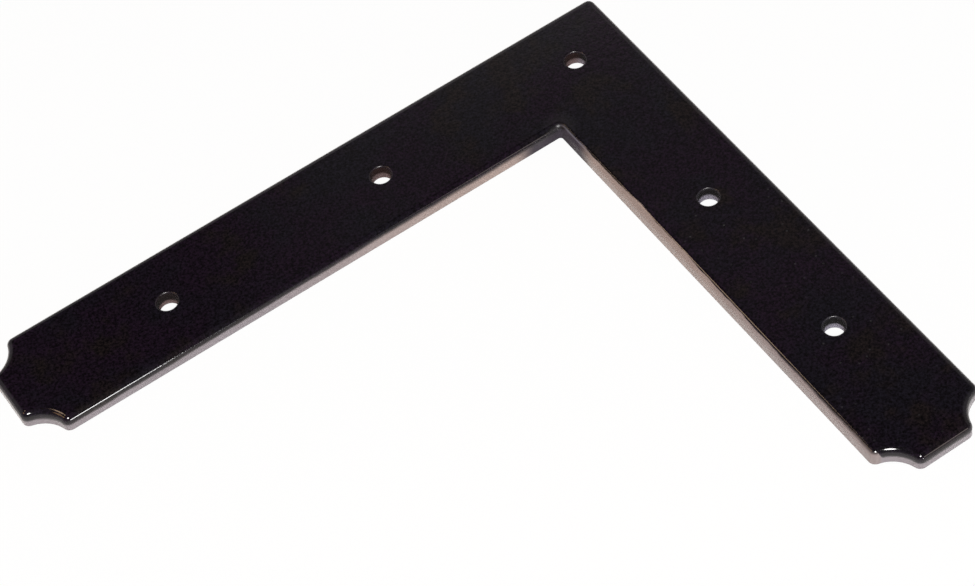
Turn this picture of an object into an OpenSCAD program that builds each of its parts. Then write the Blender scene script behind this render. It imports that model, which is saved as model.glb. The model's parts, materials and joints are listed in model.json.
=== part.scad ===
// Flat L-shaped reinforcing plate for a corner joint: one piece of steel with two arms of unequal
// length, a rolled edge round the top face, scalloped arm ends and a row of plain screw holes.
// The origin is on the corner hole's axis at the back face. The long arm runs along +X, the short
// arm along +Y, and the finished face looks up +Z. All sizes are in millimetres.

/* [Bar] */
// Width of each arm
bar_width = 35; // [28:0.5:60]
// Thickness of the steel
bar_thickness = 5; // [3.5:0.1:10]
// Overall length of the long arm, from the outer edge of the short one
long_arm = 206; // [190:1:400]
// Overall length of the short arm, from the outer edge of the long one
short_arm = 185; // [170:1:400]

/* [Edges] */
// Radius of the rolled edge round the top face
edge_roll = 2; // [0.5:0.1:3]
// Radius that the flat top keeps at its outward corners, inside the rolled edge
top_corner = 0.25; // [0.1:0.05:3]
// Radius of the fillet in the inside corner between the arms
inside_fillet = 1; // [0.5:0.1:8]

/* [Scalloped ends] */
// Radius of the scallop cut out of each corner of an arm's end
scallop_radius = 9.75; // [7:0.25:12]

/* [Screw holes] */
// Diameter of every screw hole
hole_diameter = 6; // [4:0.1:10]
// Radius of the rolled rim at the top of every screw hole
hole_roll = 0.5; // [0.2:0.05:1.2]
// Distance from the corner hole to the first hole on the long arm
long_hole_1 = 67; // [50:0.5:90]
// Distance from the corner hole to the second hole on the long arm
long_hole_2 = 137.5; // [110:0.5:160]
// Distance from the corner hole to the first hole on the short arm
short_hole_1 = 64.5; // [50:0.5:80]
// Distance from the corner hole to the second hole on the short arm
short_hole_2 = 120.5; // [100:0.5:140]

/* [Hidden] */
$fn = 96;

half_width = bar_width / 2;
hole_radius = hole_diameter / 2;
// Radius of the outward corners in plan, and where the centre of the plate's outer corner lies
corner_radius = edge_roll + top_corner;
outer_corner = corner_radius - half_width;
// Centre of the fillet in the inside corner
inside_centre = half_width + inside_fillet;
// A scallop runs smoothly into the outward corner on each side of it. The line between their centres
// has the slope of a 7-24-25 triangle. From the bar's square corner, the scallop's centre lies
// scallop_offset outside both edges, and the outward corners start scallop_setback back along them
scallop_reach = scallop_radius + corner_radius;
scallop_offset = scallop_reach * 7 / 25 - corner_radius;
scallop_setback = scallop_reach * 24 / 25 - scallop_offset;
// Half the width of the straight tip between the two scallops of an arm
half_tip = half_width - scallop_setback;
// Height where the straight wall turns into the rolled edge
wall_height = bar_thickness - edge_roll;
// How far a cutter runs past the faces it cuts
past = 1;

hole_centres = [
    [0, 0],
    [long_hole_1, 0],
    [long_hole_2, 0],
    [0, short_hole_1],
    [0, short_hole_2],
];

// Distance from the corner hole to an arm's end
function arm_end(length) = length - half_width;
// Centres of the two outward corners and of the scallop between them, on one side of an arm's end
function side_corner(end, side) = [end - scallop_setback, side * (half_width - corner_radius)];
function tip_corner(end, side) = [end - corner_radius, side * half_tip];
function scallop_centre(end, side) = [end + scallop_offset, side * (half_width + scallop_offset)];

// The short arm is laid out along +X like the long one, and mirrored over the corner's diagonal
module on_short_arm() {
    mirror([1, -1, 0])
        children();
}

// One arm in plan, drawn in from its outline by inset
module arm_plan(end, inset) {
    side = half_width - inset;
    difference() {
        polygon([
            [outer_corner, -side],
            [end - scallop_setback, -side],
            side_corner(end, -1),
            scallop_centre(end, -1),
            tip_corner(end, -1),
            [end - inset, -half_tip],
            [end - inset, half_tip],
            tip_corner(end, 1),
            scallop_centre(end, 1),
            side_corner(end, 1),
            [end - scallop_setback, side],
            [outer_corner, side],
        ]);
        for (across = [-1, 1])
            translate(scallop_centre(end, across))
                circle(scallop_radius + inset);
    }
    for (across = [-1, 1]) {
        translate(side_corner(end, across))
            circle(corner_radius - inset);
        translate(tip_corner(end, across))
            circle(corner_radius - inset);
    }
}

// The whole plate in plan, drawn in from its outline by inset
module plate_plan(inset) {
    arm_plan(arm_end(long_arm), inset);
    on_short_arm()
        arm_plan(arm_end(short_arm), inset);
    translate([outer_corner, outer_corner])
        circle(corner_radius - inset);
    difference() {
        translate([half_width - inset, half_width - inset])
            square(inside_fillet + inset);
        translate([inside_centre, inside_centre])
            circle(inside_fillet + inset);
    }
}

// Section of the rolled edge: a quarter round on top of the straight wall, which stands at x = 0
module edge_section() {
    intersection() {
        translate([edge_roll, wall_height])
            circle(edge_roll);
        translate([0, wall_height])
            square(edge_roll);
    }
}

// Rolled edge along a straight stretch of the outline, with the steel to the left of the way
module straight_edge(from, to) {
    way = to - from;
    translate(from)
        rotate(atan2(way[1], way[0]))
            rotate([90, 0, 90])
                linear_extrude(norm(way))
                    edge_section();
}

// Rolled edge round an outward corner
module outward_edge(centre) {
    translate(centre)
        rotate_extrude()
            translate([corner_radius, 0])
                mirror([1, 0])
                    edge_section();
}

// Rolled edge round a hollow of the given radius, kept within a sector that starts at its centre
module hollow_edge(centre, radius, sector) {
    intersection() {
        translate(centre)
            rotate_extrude()
                translate([radius, 0])
                    edge_section();
        linear_extrude(bar_thickness + past)
            polygon(concat([centre], sector));
    }
}

// Rolled edge of the scallop between the outward corners on one side of an arm's end
module scallop_edge(end, side) {
    centre = scallop_centre(end, side);
    hollow_edge(centre, scallop_radius, [
        2 * side_corner(end, side) - centre,
        2 * tip_corner(end, side) - centre,
    ]);
}

// Rolled edges of one arm: its two sides, its tip, and the scallop and corners on each side
module arm_edge(end) {
    straight_edge([outer_corner, -half_width], [end - scallop_setback, -half_width]);
    straight_edge([end, -half_tip], [end, half_tip]);
    straight_edge([end - scallop_setback, half_width], [inside_centre, half_width]);
    for (side = [-1, 1]) {
        outward_edge(side_corner(end, side));
        outward_edge(tip_corner(end, side));
        scallop_edge(end, side);
    }
}

// Rolled edge of the fillet in the inside corner
module inside_edge() {
    flat = half_width - edge_roll;
    hollow_edge([inside_centre, inside_centre], inside_fillet, [
        [inside_centre, flat],
        [flat, flat],
        [flat, inside_centre],
    ]);
}

// The plate before drilling
module blank() {
    linear_extrude(wall_height)
        plate_plan(0);
    linear_extrude(bar_thickness)
        plate_plan(edge_roll);
    arm_edge(arm_end(long_arm));
    on_short_arm()
        arm_edge(arm_end(short_arm));
    outward_edge([outer_corner, outer_corner]);
    inside_edge();
}

// Cutter for one screw hole: a straight bore that flares over the rolled rim at the top face
module screw_hole() {
    rim_height = bar_thickness - hole_roll;
    translate([0, 0, -past])
        cylinder(r = hole_radius, h = bar_thickness + 2 * past);
    rotate_extrude()
        difference() {
            translate([0, rim_height])
                square([hole_radius + hole_roll, hole_roll + past]);
            translate([hole_radius + hole_roll, rim_height])
                circle(hole_roll);
        }
}

module plate() {
    color("#17141a")
        difference() {
            blank();
            for (centre = hole_centres)
                translate(centre)
                    screw_hole();
        }
}

plate();
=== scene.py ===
import json
import math

import bmesh
import bpy
from mathutils import Matrix, Quaternion, Vector
from mathutils.geometry import delaunay_2d_cdt


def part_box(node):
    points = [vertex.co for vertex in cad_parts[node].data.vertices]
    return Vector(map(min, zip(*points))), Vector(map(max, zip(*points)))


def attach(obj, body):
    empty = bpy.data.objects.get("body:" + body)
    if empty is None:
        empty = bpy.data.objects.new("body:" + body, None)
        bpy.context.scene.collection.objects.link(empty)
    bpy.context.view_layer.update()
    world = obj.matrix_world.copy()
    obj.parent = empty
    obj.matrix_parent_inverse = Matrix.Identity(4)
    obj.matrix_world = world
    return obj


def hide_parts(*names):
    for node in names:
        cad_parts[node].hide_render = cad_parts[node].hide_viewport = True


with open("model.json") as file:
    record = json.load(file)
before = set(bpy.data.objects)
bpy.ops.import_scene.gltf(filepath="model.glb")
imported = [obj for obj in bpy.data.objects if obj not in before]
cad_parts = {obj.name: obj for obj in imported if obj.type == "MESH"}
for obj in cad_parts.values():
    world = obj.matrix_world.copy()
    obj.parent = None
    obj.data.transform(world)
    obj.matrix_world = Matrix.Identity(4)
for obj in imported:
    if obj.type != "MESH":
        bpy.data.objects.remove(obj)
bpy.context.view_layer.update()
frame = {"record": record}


# The plate: one flat L of steel bar, for screwing over a corner joint. Its arms end in scallops, its
# upper edge is rolled over all round, and its screw holes have a rolled rim. It is sprayed gloss black:
# the paint thins low on the walls, where its pale colour also paints in the floor's reflection. The
# walls in the inside corner and in the holes carry painted shade, the short arm's inner edge by the
# corner and the holes' rims carry painted highlights, and the paint is dull in the holes.
mounts = {mount["name"]: mount for mount in frame["record"]["mounts"]}
plate_low, plate_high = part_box("plate")
thickness = plate_high.z - plate_low.z
half_width = -plate_low.x
edge_roll = 0.002
top_corner = 0.00025
corner_radius = edge_roll + top_corner
inside_fillet = 0.001
hole_radius = mounts["corner_hole"]["dims"]["r_mm"] / 1000
hole_roll = thickness - mounts["corner_hole"]["dims"]["length_mm"] / 1000
back_break = 0.00012
scallop_radius = 0.00975
scallop_reach = scallop_radius + corner_radius
# The line between a scallop's centre and an outward corner's has the slope of a 7-24-25 triangle
scallop_offset = scallop_reach * 7 / 25 - corner_radius
scallop_setback = scallop_reach * 24 / 25 - scallop_offset
scallop_turn = math.atan2(24, 7)
quarter = math.pi / 2


def arm_end(end, heading):
    """The corners and scallops round one arm's end. Each is a centre, a radius that is negative for a
    hollow, and the first and last direction that its wall faces."""
    side = half_width - corner_radius
    tip = half_width - scallop_setback
    outside = half_width + scallop_offset
    stretch = [
        ((end - scallop_setback, -side), corner_radius, -quarter, scallop_turn - quarter),
        ((end + scallop_offset, -outside), -scallop_radius, scallop_turn - quarter, -scallop_turn),
        ((end - corner_radius, -tip), corner_radius, -scallop_turn, 0),
        ((end - corner_radius, tip), corner_radius, 0, scallop_turn),
        ((end + scallop_offset, outside), -scallop_radius, scallop_turn, quarter - scallop_turn),
        ((end - scallop_setback, side), corner_radius, quarter - scallop_turn, quarter),
    ]
    turn = Matrix.Rotation(heading, 2)
    return [(turn @ Vector(centre), radius, first + heading, last + heading)
            for centre, radius, first, last in stretch]


outer_corner = Vector((corner_radius - half_width,) * 2)
inside_corner = Vector((half_width + inside_fillet,) * 2)
outline = [
    (outer_corner, corner_radius, 2 * quarter, 3 * quarter),
    *arm_end(plate_high.x, 0),
    (inside_corner, -inside_fillet, quarter, 0),
    *arm_end(plate_high.y, quarter),
]

hole_centres = [Vector((0, 0))]
for name, spacing, along in (
    ("long_arm_holes", "spacing_x_mm", Vector((1, 0))),
    ("short_arm_holes", "spacing_y_mm", Vector((0, 1))),
):
    middle = Vector(mounts[name]["pos_m"][:2])
    half_spacing = mounts[name]["dims"][spacing] / 2000
    hole_centres += [middle - along * half_spacing, middle + along * half_spacing]
# A screw hole is a hollow that turns all the way round
holes = [[(centre, -hole_radius, 4 * quarter, 0)] for centre in hole_centres]


def ring(arcs, inset):
    """Points along a wall drawn into the steel by inset, about 3 degrees apart on its curves."""
    fewest_steps, step_angle, same_point = 6, math.radians(3), 1e-7
    points = []
    for centre, radius, first, last in arcs:
        steps = max(fewest_steps, round(abs(last - first) / step_angle))
        full_turn = abs(last - first) > 3.9 * quarter
        for step in range(steps if full_turn else steps + 1):
            facing = first + (last - first) * step / steps
            point = centre + (radius - inset) * Vector((math.cos(facing), math.sin(facing)))
            if not points or (point - points[-1]).length > same_point:
                points.append(point)
    return points


def edge_section(roll, steps):
    """Inset and height of each row of points, from the back face up the wall and over the roll."""
    wall = thickness - roll
    rows = [
        (3 * back_break, 0),
        (back_break, 0),
        (0, back_break),
        (0, 3 * back_break),
        (0, wall - back_break),
    ]
    for step in range(steps + 1):
        lean = quarter * step / steps
        rows.append((roll * (1 - math.cos(lean)), wall + roll * math.sin(lean)))
    return rows + [(roll + back_break, thickness)]


steel = bmesh.new()
back_rims, top_rims = [], []
edge_steps, rim_steps = 18, 10
rolled_walls = [(outline, edge_roll, edge_steps)] + [(arcs, hole_roll, rim_steps) for arcs in holes]
for arcs, roll, steps in rolled_walls:
    rows = [[steel.verts.new((*point, level)) for point in ring(arcs, inset)]
            for inset, level in edge_section(roll, steps)]
    for lower, upper in zip(rows, rows[1:]):
        for here in range(len(lower)):
            steel.faces.new((lower[here - 1], lower[here], upper[here], upper[here - 1]))
    back_rims.append(rows[0])
    top_rims.append(rows[-1])


def flat_face(rims, order):
    """Fills the flat between the outline, which is the first rim, and the holes with triangles."""
    points = [point for rim in rims for point in rim]
    owner = [rim for rim, row in enumerate(rims) for point in row]
    edges = []
    for row in rims:
        first = points.index(row[0])
        edges += [(first + here, first + (here + 1) % len(row)) for here in range(len(row))]
    within_outline, same_point = 1, 1e-6
    millimetres = [point.co.xy * 1000 for point in points]
    filled = delaunay_2d_cdt(millimetres, edges, [], within_outline, same_point)
    triangles, source = filled[2], filled[3]
    for triangle in triangles:
        corners = [source[corner][0] for corner in triangle]
        across_hole = owner[corners[0]] > 0 and len({owner[corner] for corner in corners}) == 1
        if not across_hole:
            steel.faces.new([points[corner] for corner in corners[::order]])


flat_face(back_rims, -1)
flat_face(top_rims, 1)
for face in steel.faces:
    face.smooth = True
plate_mesh = bpy.data.meshes.new("painted_plate")
steel.to_mesh(plate_mesh)
steel.free()
plate = bpy.data.objects.new("painted_plate", plate_mesh)
bpy.context.scene.collection.objects.link(plate)
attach(plate, "root")
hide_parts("plate")


class Wire:
    """An output socket in a material. Arithmetic on wires adds the Math nodes that it needs."""

    def __init__(self, tree, socket=None):
        self.tree = tree
        self.socket = socket

    def node(self, kind, settings=None, inputs=None, output=0):
        """Adds a node, applies its settings, feeds its sockets and returns one of its outputs."""
        made = self.tree.nodes.new(kind)
        for name, value in (settings or {}).items():
            setattr(made, name, value)
        for name, value in (inputs or {}).items():
            if isinstance(value, Wire):
                self.tree.links.new(value.socket, made.inputs[name])
            else:
                made.inputs[name].default_value = value
        return Wire(self.tree, made.outputs[output] if len(made.outputs) else None)

    def maths(self, operation, *values):
        return self.node("ShaderNodeMath", {"operation": operation}, dict(enumerate(values)))

    def __add__(self, other):
        return self.maths("ADD", self, other)

    def __sub__(self, other):
        return self.maths("SUBTRACT", self, other)

    def __rsub__(self, other):
        return self.maths("SUBTRACT", other, self)

    def __mul__(self, other):
        return self.maths("MULTIPLY", self, other)

    __radd__ = __add__
    __rmul__ = __mul__

    def between(self, low, high):
        """0 below low, 1 above high, and a smooth rise from one to the other."""
        return self.node("ShaderNodeMapRange", {"interpolation_type": "SMOOTHSTEP"},
                         {"Value": self, "From Min": low, "From Max": high})

    def blend(self, under, over):
        """The colour under where this wire is 0, and over where it is 1."""
        factor, first_colour, second_colour, mixed_colour = 0, 6, 7, 2
        return self.node("ShaderNodeMix", {"data_type": "RGBA"},
                         {factor: self, first_colour: under, second_colour: over}, mixed_colour)


paint = bpy.data.materials.new("black_gloss_paint")
paint.use_nodes = True
paint.node_tree.nodes.clear()
start = Wire(paint.node_tree)
place = start.node("ShaderNodeTexCoord", output="Object")


def noise(scale, detail, roughness=0.5):
    return start.node("ShaderNodeTexNoise", None,
                      {"Vector": place, "Scale": scale, "Detail": detail, "Roughness": roughness})


def axis(name):
    return start.node("ShaderNodeSeparateXYZ", None, {"Vector": place}, name)


def distance(point, target):
    return start.node("ShaderNodeVectorMath", {"operation": "DISTANCE"}, {0: point, 1: target}, "Value")


# Where a point of the paint lies: on which arm, how far from the inside corner, and whether in a hole
height = axis("Z")
short_arm = (axis("Y") - axis("X")).between(-0.002, 0.004)
inner_side = short_arm * axis("X").between(0.0148, 0.0158)
from_corner = distance(place, (half_width, half_width, 0))
past_corner = from_corner.between(0.009, 0.017)
far_end = from_corner.between(0.05, 0.17)
in_plan = start.node("ShaderNodeVectorMath", {"operation": "MULTIPLY"}, {0: place, 1: (1, 1, 0)})
from_hole = distance(in_plan, (*hole_centres[0], 0))
for centre in hole_centres[1:]:
    from_hole = start.maths("MINIMUM", from_hole, distance(in_plan, (*centre, 0)))
in_hole = 1 - from_hole.between(0.0034, 0.0036)

# The black itself: plum clouded with slate and stained with umber, a fine grain, and a little dust,
# most of it halfway along the short arm
plum = (0.0136, 0.0066, 0.0157, 1)
slate = (0.0092, 0.0078, 0.0133, 1)
umber = (0.0138, 0.0096, 0.0098, 1)
between_grains = (0.001, 0.0006, 0.001, 1)
dust = (0.031, 0.030, 0.033, 1)
cloud = noise(42, 4, 0.6).between(0.40, 0.62)
stain = noise(75, 3, 0.6).between(0.52, 0.68)
grain = noise(1350, 2, 0.7)
specks = start.node("ShaderNodeTexVoronoi", {"feature": "F1", "voronoi_dimensions": "2D"},
                    {"Vector": place, "Scale": 150})
dusty_part = (0.12 + 0.88 * short_arm) * from_corner.between(0.032, 0.060) * (1 - 0.75 * far_end)
dusty = noise(38, 2).between(0.42, 0.60) * dusty_part
speck = (1 - specks.between(0.01, 0.07)) * dusty
pigment = stain.blend(cloud.blend(plum, slate), umber)
flecked = grain.between(0.28, 0.76).blend(between_grains, pigment)
black = speck.blend(flecked, dust)

# The pale thin paint low on the walls, which also stands for a painted reflection of the bright floor.
# It ends upward in a ragged line that lies highest along the short arm's inner side and lowest in the
# holes
brown_grey = (0.36, 0.277, 0.25, 1)
lilac_grey = (0.25, 0.223, 0.243, 1)
long_hole_grey = (0.18, 0.122, 0.122, 1)
short_hole_grey = (0.30, 0.28, 0.345, 1)
long_line = 0.0031 - 0.0007 * far_end - 0.00095 * in_hole
long_blur = 0.0005 + 0.0004 * (1 - from_corner.between(0.03, 0.10)) * (1 - in_hole)
inner_line = 0.0048 - 0.00045 * from_corner.between(0.04, 0.15)
inner_blur = 0.0001 + 0.0005 * from_corner.between(0.08, 0.16)
line = long_line + inner_side * (inner_line - long_line)
blur = long_blur + inner_side * (inner_blur - long_blur)
ragged = height + 0.0007 * (noise(150, 3) - 0.5)
low_wall = height.between(0.00004, 0.0002) * (1 - ragged.between(line - blur, line + blur))
patches = 0.72 + 0.45 * noise(40, 2) - 0.1 * inner_side
# Pale thin paint that is also a painted reflection of the floor; none near the inside corner, where the
# walls keep painted shade
thin_paint_and_reflection = low_wall * past_corner * patches
wall_grey = (from_corner.between(0.02, 0.11) - 0.5 * inner_side).blend(brown_grey, lilac_grey)
# In the holes the pale lower band is a painted reflection of the floor as well
hole_grey = short_arm.blend(long_hole_grey, short_hole_grey)
thin_paint_and_reflection_colour = in_hole.blend(wall_grey, hole_grey)

# Painted shade in the holes below their rims, painted shade on the walls in the inside corner, and a
# painted highlight on the short arm's inner edge near the corner
red_shade = (0.016, 0.002, 0.001, 1)
black_shade = (0.002, 0.001, 0.002, 1)
# Painted shade: a dark grey for the low walls in the inside corner
corner_shade_grey = (0.042, 0.032, 0.048, 1)
# Painted highlight: a light lilac line on the short arm's inner roll near the corner
edge_highlight_lilac = (0.27, 0.26, 0.32, 1)
# Painted sheen: a faint paler ring on the holes' rolled rims
rim_sheen = in_hole * height.between(0.0045, 0.0046) * (1 - height.between(0.00492, 0.00499))
below_rim = in_hole * (1 - height.between(0.0043, 0.0047))
hole_shade = (short_arm + far_end).blend(red_shade, black_shade)
in_corner = low_wall * (1 - past_corner)
above_line = height.between(0.0045, 0.00462) * (1 - height.between(0.00474, 0.00486))
edge_highlight = inner_side * above_line * (1 - from_corner.between(0.010, 0.018))
shaded = below_rim.blend(black, hole_shade)
corner_shaded = (0.8 * in_corner).blend(shaded, corner_shade_grey)
edge_highlighted = (0.3 * edge_highlight).blend(corner_shaded, edge_highlight_lilac)
colour = (thin_paint_and_reflection + 0.05 * rim_sheen).blend(edge_highlighted, thin_paint_and_reflection_colour)

gloss_roughness = 0.06 + 0.03 * cloud + 0.03 * grain + 0.3 * speck + 0.12 * thin_paint_and_reflection
corner_roughness = 0.5 * in_corner + 0.35 * (1 - from_corner.between(0.003, 0.008))
hole_roughness = 0.16 * in_hole + 0.8 * below_rim
orange_peel = 0.7 * noise(620, 2) + 0.3 * noise(1900, 1)
surface = start.node("ShaderNodeBump", None,
                     {"Strength": 0.04, "Distance": 0.0004, "Height": orange_peel})
gloss = start.node("ShaderNodeBsdfPrincipled", None, {
    "Base Color": colour,
    "Roughness": gloss_roughness + corner_roughness + hole_roughness,
    "IOR": 1.52,
    "Normal": surface,
})
start.node("ShaderNodeOutputMaterial", None, {"Surface": gloss})
plate_mesh.materials.append(paint)


# The floor: a sheet of white paper that the plate lies on. The camera sees it as white, with a trace
# of the plate's shadow, and the gloss paint mirrors the paper as the lamps light it.
reach = 6.0
gap_under_plate = 0.00005
white = (1, 1, 1, 1)
paper_white = (0.93, 0.93, 0.93, 1)
share_of_white = 0.92
floor_mesh = bpy.data.meshes.new("paper")
sheet_corners = [(-reach, -reach, 0), (reach, -reach, 0), (reach, reach, 0), (-reach, reach, 0)]
floor_mesh.from_pydata(sheet_corners, [], [(0, 1, 2, 3)])
floor = bpy.data.objects.new("paper", floor_mesh)
floor.location.z = plate_low.z - gap_under_plate
bpy.context.scene.collection.objects.link(floor)
paper = bpy.data.materials.new("white_paper")
paper.use_nodes = True
paper.node_tree.nodes.clear()
sheet = Wire(paper.node_tree)
seen = sheet.node("ShaderNodeLightPath", output="Is Camera Ray")
plain_white = sheet.node("ShaderNodeEmission", None, {"Color": white, "Strength": 1.0})
lit_paper = sheet.node("ShaderNodeBsdfDiffuse", None, {"Color": paper_white})
page = sheet.node("ShaderNodeMixShader", None,
                  {0: seen * share_of_white, 1: lit_paper, 2: plain_white})
sheet.node("ShaderNodeOutputMaterial", None, {"Surface": page})
floor_mesh.materials.append(paper)


# The room and the lamps: a dim room, paler low down and along a cornice behind the plate, with a small
# window. A soft key lamp stands near the camera's direction, and three small ones draw the streak on
# the long arm's inner edge, the warm line on the short arm's and the glint at the long arm's end.
room = bpy.data.worlds.new("room")
room.use_nodes = True
room.node_tree.nodes.clear()
bpy.context.scene.world = room
air = Wire(room.node_tree)
direction = air.node("ShaderNodeTexCoord", output="Generated")


def toward(x, y, z):
    """How far a direction points the given way, from -1 to 1."""
    return air.node("ShaderNodeVectorMath", {"operation": "DOT_PRODUCT"},
                    {0: direction, 1: (x, y, z)}, "Value")


shadow = (0.034, 0.031, 0.033, 1)
pale_wall = (1, 0.95, 0.95, 1)
daylight = (2.5, 2.15, 2.0, 1)
aloft = toward(0, 0, 1)
rearward = toward(0.26, -0.97, 0)
front = toward(0.42, 0.9, 0).between(-0.4, 0.6)
far_wall = 0.25 + 0.15 * rearward.between(0.3, 0.9)
left_side = toward(-1, 0, 0).between(0.165, 0.235)
below_ceiling = 1 - aloft.between(0.79, 0.845)
cornice_height = aloft.between(0.55, 0.68) * (1 - aloft.between(0.722, 0.758))
cornice = cornice_height * rearward.between(0.36, 0.48)
left_wall = left_side * (0.075 * below_ceiling + 0.3 * cornice)
overhead = 0.07 * aloft.between(0.80, 0.90) * toward(0, 1, 0).between(-0.35, -0.15)
behind = far_wall * (1 - aloft.between(0.60, 0.78)) + left_wall + overhead
ahead = 0.07 + 0.5 * (1 - aloft.between(0.08, 0.50))
paleness = behind * (1 - front) + ahead * front
window = toward(-0.34, 0.855, 0.392).between(0.990, 0.997)
lit_room = window.blend(paleness.blend(shadow, pale_wall), daylight)
eye = air.node("ShaderNodeLightPath", output="Is Camera Ray")
walls = air.node("ShaderNodeBackground", None,
                 {"Color": eye.blend(lit_room, white), "Strength": 1.0})
air.node("ShaderNodeOutputWorld", None, {"Surface": walls})


def lamp(name, stand, aim, size, power, tint):
    light = bpy.data.lights.new(name, "AREA")
    light.shape, light.size, light.size_y = "RECTANGLE", *size
    light.energy, light.color = power, tint
    made = bpy.data.objects.new(name, light)
    made.location = stand
    made.rotation_euler = (Vector(aim) - Vector(stand)).to_track_quat("-Z", "Y").to_euler()
    bpy.context.scene.collection.objects.link(made)


plate_middle = (plate_low + plate_high) / 2
long_inner_edge = (0.165, 0.0175, 0.0046)
short_inner_edge = (0.0175, 0.1, 0.004)
long_arm_end = (0.18, 0.013, 0.004)
lamp("key", (0.46, 0.92, 1.33), plate_middle, (0.45, 0.45), 24, (1, 0.98, 0.96))
lamp("streak", (0.042, 1.18, 0.235), long_inner_edge, (0.085, 0.2), 1.7, (1, 1, 1))
lamp("side", (0.4075, -0.61, 1.19), short_inner_edge, (0.36, 0.14), 0.9, (1, 0.72, 0.48))
lamp("glint", (1.115, -0.312, 0.99), long_arm_end, (0.4, 0.4), 1.3, (1, 0.6, 0.28))


# The camera stands over the open side of the angle and looks back at the plate. It looks down at
# 53 degrees and is tilted by 11.
camera_data = bpy.data.cameras.new("camera")
camera_data.sensor_width = 36
camera_data.lens = 107.162
camera_data.clip_start = 0.01
heading, dip, tilt = math.radians(-114.997), math.radians(52.961), math.radians(-11.036)
forward = Vector((
    math.cos(dip) * math.cos(heading),
    math.cos(dip) * math.sin(heading),
    -math.sin(dip),
))
camera = bpy.data.objects.new("camera", camera_data)
camera.location = (0.26705, 0.48393, 0.63447)
camera.rotation_mode = "QUATERNION"
camera.rotation_quaternion = forward.to_track_quat("-Z", "Y") @ Quaternion((0, 0, 1), tilt)
bpy.context.scene.collection.objects.link(camera)
bpy.context.scene.camera = camera
bpy.context.scene.view_settings.view_transform = "Standard"
